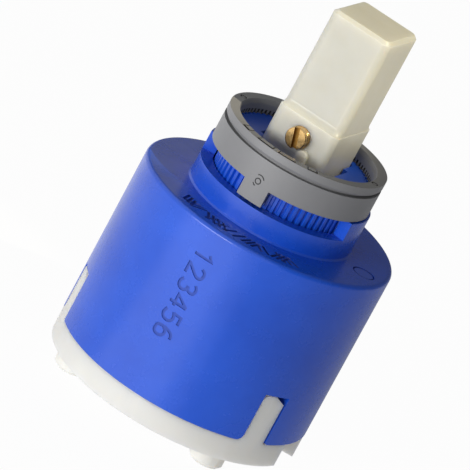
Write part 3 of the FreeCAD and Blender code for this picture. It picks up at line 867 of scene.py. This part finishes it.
def screw_piece(material, slot_shade_material):
    # slotted screw with a real thread; its axis is along Y
    low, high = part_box("flow_limit_screw")
    head_y, tip_y = low.y / MM, high.y / MM
    outer = (high.x - low.x) / 2 / MM
    bm = bmesh.new()
    rows = []
    for i in range(SCREW_STEPS_ALONG + 1):
        y = head_y + (tip_y - head_y) * i / SCREW_STEPS_ALONG
        cut = THREAD_DEPTH * min(1.0, max(0.0, (y - head_y - HEAD_LENGTH) / THREAD_RUN_IN))
        ease = min(1.0, (y - head_y) / HEAD_ROUNDING, (tip_y - y) / TIP_TAPER)
        row = []
        for k in range(SCREW_STEPS_ROUND):
            turn = 2 * math.pi * k / SCREW_STEPS_ROUND
            phase = (y / THREAD_PITCH - k / SCREW_STEPS_ROUND) % 1.0
            crest = 1.0 - abs(2.0 * phase - 1.0)
            radius = outer - cut * (1.0 - min(1.0, crest * CREST_FLAT)) - HEAD_ROUNDING * (1.0 - ease)
            row.append(bm.verts.new((radius * math.cos(turn), y, SCREW_Z + radius * math.sin(turn))))
        rows.append(row)
    skinned(bm, rows)
    piece = closed_piece("limit_screw", bm, material)
    slot = bmesh.new()
    bmesh.ops.create_cube(slot, size=1.0)
    bmesh.ops.scale(slot, vec=(DRIVER_W, 2 * DRIVER_DEPTH, DRIVER_REACH), verts=slot.verts)
    tilt = Matrix.Rotation(math.radians(-DRIVER_TURN), 3, "Y")
    bmesh.ops.rotate(slot, cent=(0, 0, 0), matrix=tilt, verts=slot.verts)
    bmesh.ops.translate(slot, vec=(0.0, head_y, SCREW_Z), verts=slot.verts)
    # the slot's faces take the dark brass, painted shade of the slot
    combined(piece, "DIFFERENCE", [from_bmesh("slot_cutter", slot, slot_shade_material)])
    shaded(piece, sharp=30.0)
    stands_for(piece, "screw", "brass", "flow_limit_screw")


def dress_nodes(finishes):
    # CAD nodes that are shown as they are, each with its finish
    for node, material in finishes.items():
        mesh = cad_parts[node].data
        mesh.materials.clear()
        mesh.materials.append(material)


# light and camera

def hung(lamp, turn, rise, reach, aim):
    # hangs a lamp at a distance from its aim, in metres, and points it there
    place = link(bpy.data.objects.new(lamp.name, lamp))
    place.location = aim + reach * towards(turn, rise)
    place.rotation_euler = (aim - place.location).to_track_quat("-Z", "Y").to_euler()


def soft_light(name, turn, rise, reach, size, power):
    lamp = bpy.data.lights.new(name, "AREA")
    lamp.shape = "RECTANGLE"
    lamp.size, lamp.size_y = size
    lamp.energy = power
    hung(lamp, turn, rise, reach, LIGHT_AIM)


def stem_light(turn, rise, reach, power):
    # narrow warm beam on the stem, for the light that its thick ivory plastic passes on
    lamp = bpy.data.lights.new("stem_beam", "SPOT")
    lamp.energy = power
    lamp.color = (1.0, 0.9, 0.66)
    lamp.spot_size = math.radians(4.4)
    lamp.spot_blend = 0.7
    lamp.shadow_soft_size = 0.004
    hung(lamp, turn, rise, reach, STEM_AIM)


def studio():
    # one low box in front and a little to the left, in an evenly lit room, and a small one behind
    soft_light("front_box", turn=-16.0, rise=6.0, reach=0.6, size=(0.42, 0.14), power=2.35)
    soft_light("back_box", turn=213.6, rise=21.0, reach=0.126, size=(0.05, 0.04), power=0.002)
    stem_light(turn=78.0, rise=54.0, reach=0.6, power=13.0)
    world = bpy.data.worlds.new("studio")
    scene.world = world
    world.use_nodes = True
    world.cycles.sampling_method = "NONE"
    tree = world.node_tree
    tree.nodes.clear()
    shine = tree.nodes.new("ShaderNodeLightPath").outputs["Is Glossy Ray"]
    dimming = reckoned(tree, "MULTIPLY", shine, ROOM_DIMMED_IN_SHINE)
    room = new_node(tree, "ShaderNodeBackground", {
        "Color": (0.98, 0.99, 1.0, 1.0), "Strength": reckoned(tree, "SUBTRACT", ROOM_LEVEL, dimming)})
    sheet = new_node(tree, "ShaderNodeBackground", {"Color": (1.0, 1.0, 1.0, 1.0), "Strength": 1.0})
    lit_side = facing(tree, "Generated", BRIGHT_ROOM_SIDE, SIDE_BLEND, DIM_ROOM, 1.0)
    share = white_share(tree, 1.0, 0.0, lit_side)
    mix = new_node(tree, "ShaderNodeMixShader", {"Fac": share, 1: room.outputs[0], 2: sheet.outputs[0]})
    new_node(tree, "ShaderNodeOutputWorld", {"Surface": mix.outputs[0]})


def floor_piece(material):
    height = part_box("base")[0].z - FLOOR_DROP
    bm = bmesh.new()
    bmesh.ops.create_grid(bm, x_segments=8, y_segments=8, size=FLOOR_REACH)
    bmesh.ops.translate(bm, vec=(0, 0, height), verts=bm.verts)
    from_bmesh("floor", bm, material)


def photo_camera():
    turn, lean = math.radians(VIEW_TURN), math.radians(VIEW_LEAN)
    right = Vector((math.cos(turn), math.sin(turn), 0.0))
    back = towards(VIEW_TURN, VIEW_RISE)
    up = back.cross(right)
    stand = VIEW_CENTRE + back * (VIEW_FOCAL_PX / VIEW_PX_PER_MM)
    aim = VIEW_CENTRE + right * VIEW_SIDE + up * VIEW_UP
    ahead = (aim - stand).normalized()
    picture_right = right * math.cos(lean) + up * math.sin(lean)
    picture_up = picture_right.cross(ahead).normalized()
    picture_right = ahead.cross(picture_up)
    camera = bpy.data.cameras.new("photo_camera")
    camera.sensor_width = SENSOR_W
    camera.lens = VIEW_FOCAL_PX / PICTURE_PX * SENSOR_W
    camera.clip_start = 0.05
    camera.clip_end = 20.0
    place = link(bpy.data.objects.new("photo_camera", camera))
    axes = Matrix((picture_right, picture_up, -ahead)).transposed().to_4x4()
    place.matrix_world = Matrix.Translation(stand * MM) @ axes
    scene.camera = place


# the part

ceramic = lapped_ceramic()
rubber = seal_rubber()
white = carrier_plastic()
steel = turned_metal("steel", (0.5, 0.5, 0.51), (0.62, 0.62, 0.63), (0.22, 0.34))
brass = turned_metal("brass", (0.46, 0.29, 0.11), (0.62, 0.42, 0.19), (0.2, 0.3))
# dark brass for the faces of the screw's driver slot: painted shade of the slot
slot_shade_brass = turned_metal("slot_shade_brass", (0.2, 0.1, 0.02), (0.3, 0.16, 0.04), (0.4, 0.5))

arc_bars = bar_tree()
housing_piece(blue_plastic(), recess_shade_blue(), digit_shade_blue(), arc_bars)
base_piece(pale_plastic())
ring_piece(grey_plastic(), recess_shade_grey(), arc_bars)
turret_piece(neck_plastic())
lever_piece(ivory_plastic())
screw_piece(brass, slot_shade_brass)
dress_nodes({
    "fixed_disc": ceramic, "moving_disc": ceramic, "mixing_screen": steel, "disc_carrier": white,
    "carrier_seal": rubber, "slide_washer": white, "pivot_pin": steel,
    "seal_lower_hot": rubber, "seal_lower_cold": rubber, "seal_lower_outlet": rubber,
    "seal_upper_hot": rubber, "seal_upper_cold": rubber, "seal_upper_outlet": rubber,
})
studio()
floor_piece(pale_floor())
photo_camera()
scene.view_settings.view_transform = "Standard"
